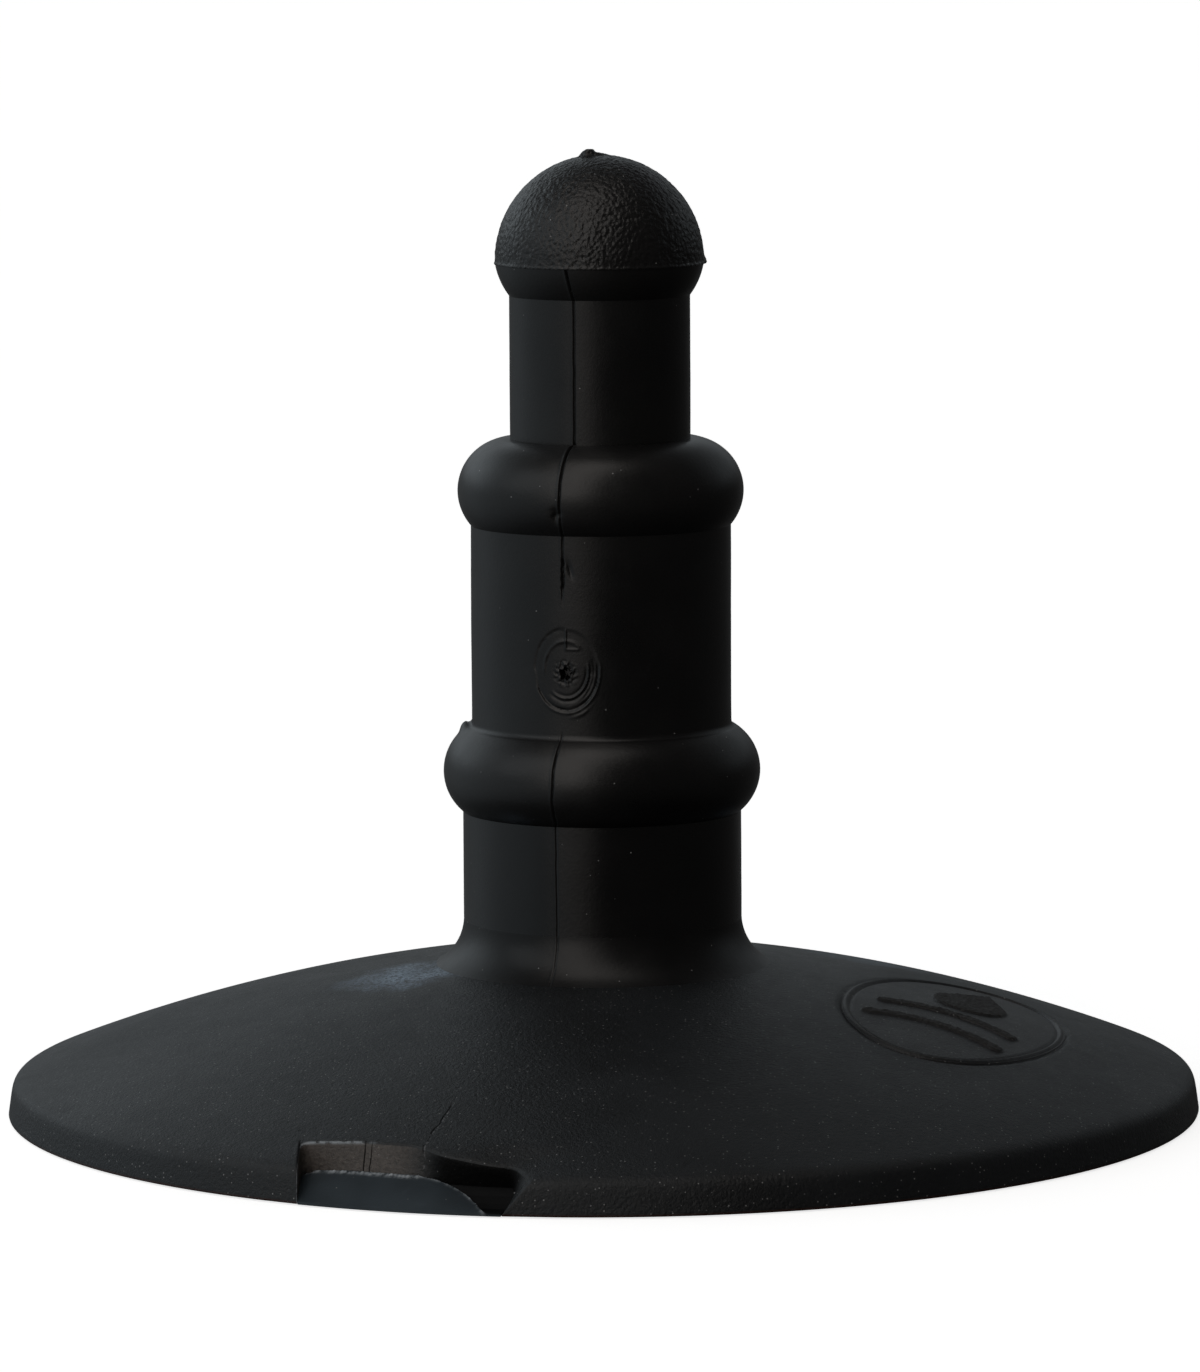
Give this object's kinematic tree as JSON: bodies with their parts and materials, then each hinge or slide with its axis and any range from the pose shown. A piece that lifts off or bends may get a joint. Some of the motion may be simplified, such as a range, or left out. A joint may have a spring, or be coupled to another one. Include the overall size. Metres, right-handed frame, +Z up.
{
  "type": "sink plunger",
  "caption": "Shallow rubber suction cup with a lift notch in its lip and a stepped, ringed handle that ends in a round knob.",
  "frame": {"origin": "centre of the flat sealing face, on the surface that the cup stands on", "axes": "+Z up the handle, -Y towards the front, +X to the right; the lift notch is 20 degrees left of the front and the badge is on the right"},
  "size_m": [0.15, 0.15, 0.1206],
  "materials": {
    "cup_rubber": "fine grain, matt",
    "smooth_rubber": "smooth, satin",
    "rough_rubber": "leathery, satin"
  },
  "bodies": {
    "cup": {"suction_lip": "cup_rubber", "cup_web": "cup_rubber", "oval_badge": "cup_rubber"},
    "tab": {"lift_tab": "smooth_rubber"},
    "hub": {"handle_foot": "smooth_rubber", "handle_neck": "smooth_rubber"},
    "grip": {"lower_grip_ring": "smooth_rubber", "middle_grip": "smooth_rubber", "upper_grip_ring": "smooth_rubber", "upper_grip": "smooth_rubber", "knob_skirt": "smooth_rubber", "knob_dome": "rough_rubber"}
  },
  "joints": [
    {"name": "cup_press", "type": "slide", "parent": "cup", "child": "hub", "axis": [0, 0, 1], "range_m": [-0.006, 0.004], "stiffness_N_per_m": 4000, "deforming": ["cup_web"]},
    {"name": "handle_bend", "type": "hinge", "parent": "hub", "child": "grip", "pos_m": [0, 0, 0.031], "axis": [0, 1, 0], "range_deg": [-8, 8], "stiffness_Nm_per_rad": 6, "deforming": ["handle_neck"]},
    {"name": "tab_lift", "type": "hinge", "parent": "cup", "child": "tab", "pos_m": [-0.0236, -0.06484, 0.00335], "axis": [-0.9397, 0.342, 0], "range_deg": [0, 12], "stiffness_Nm_per_rad": 0.02}
  ]
}
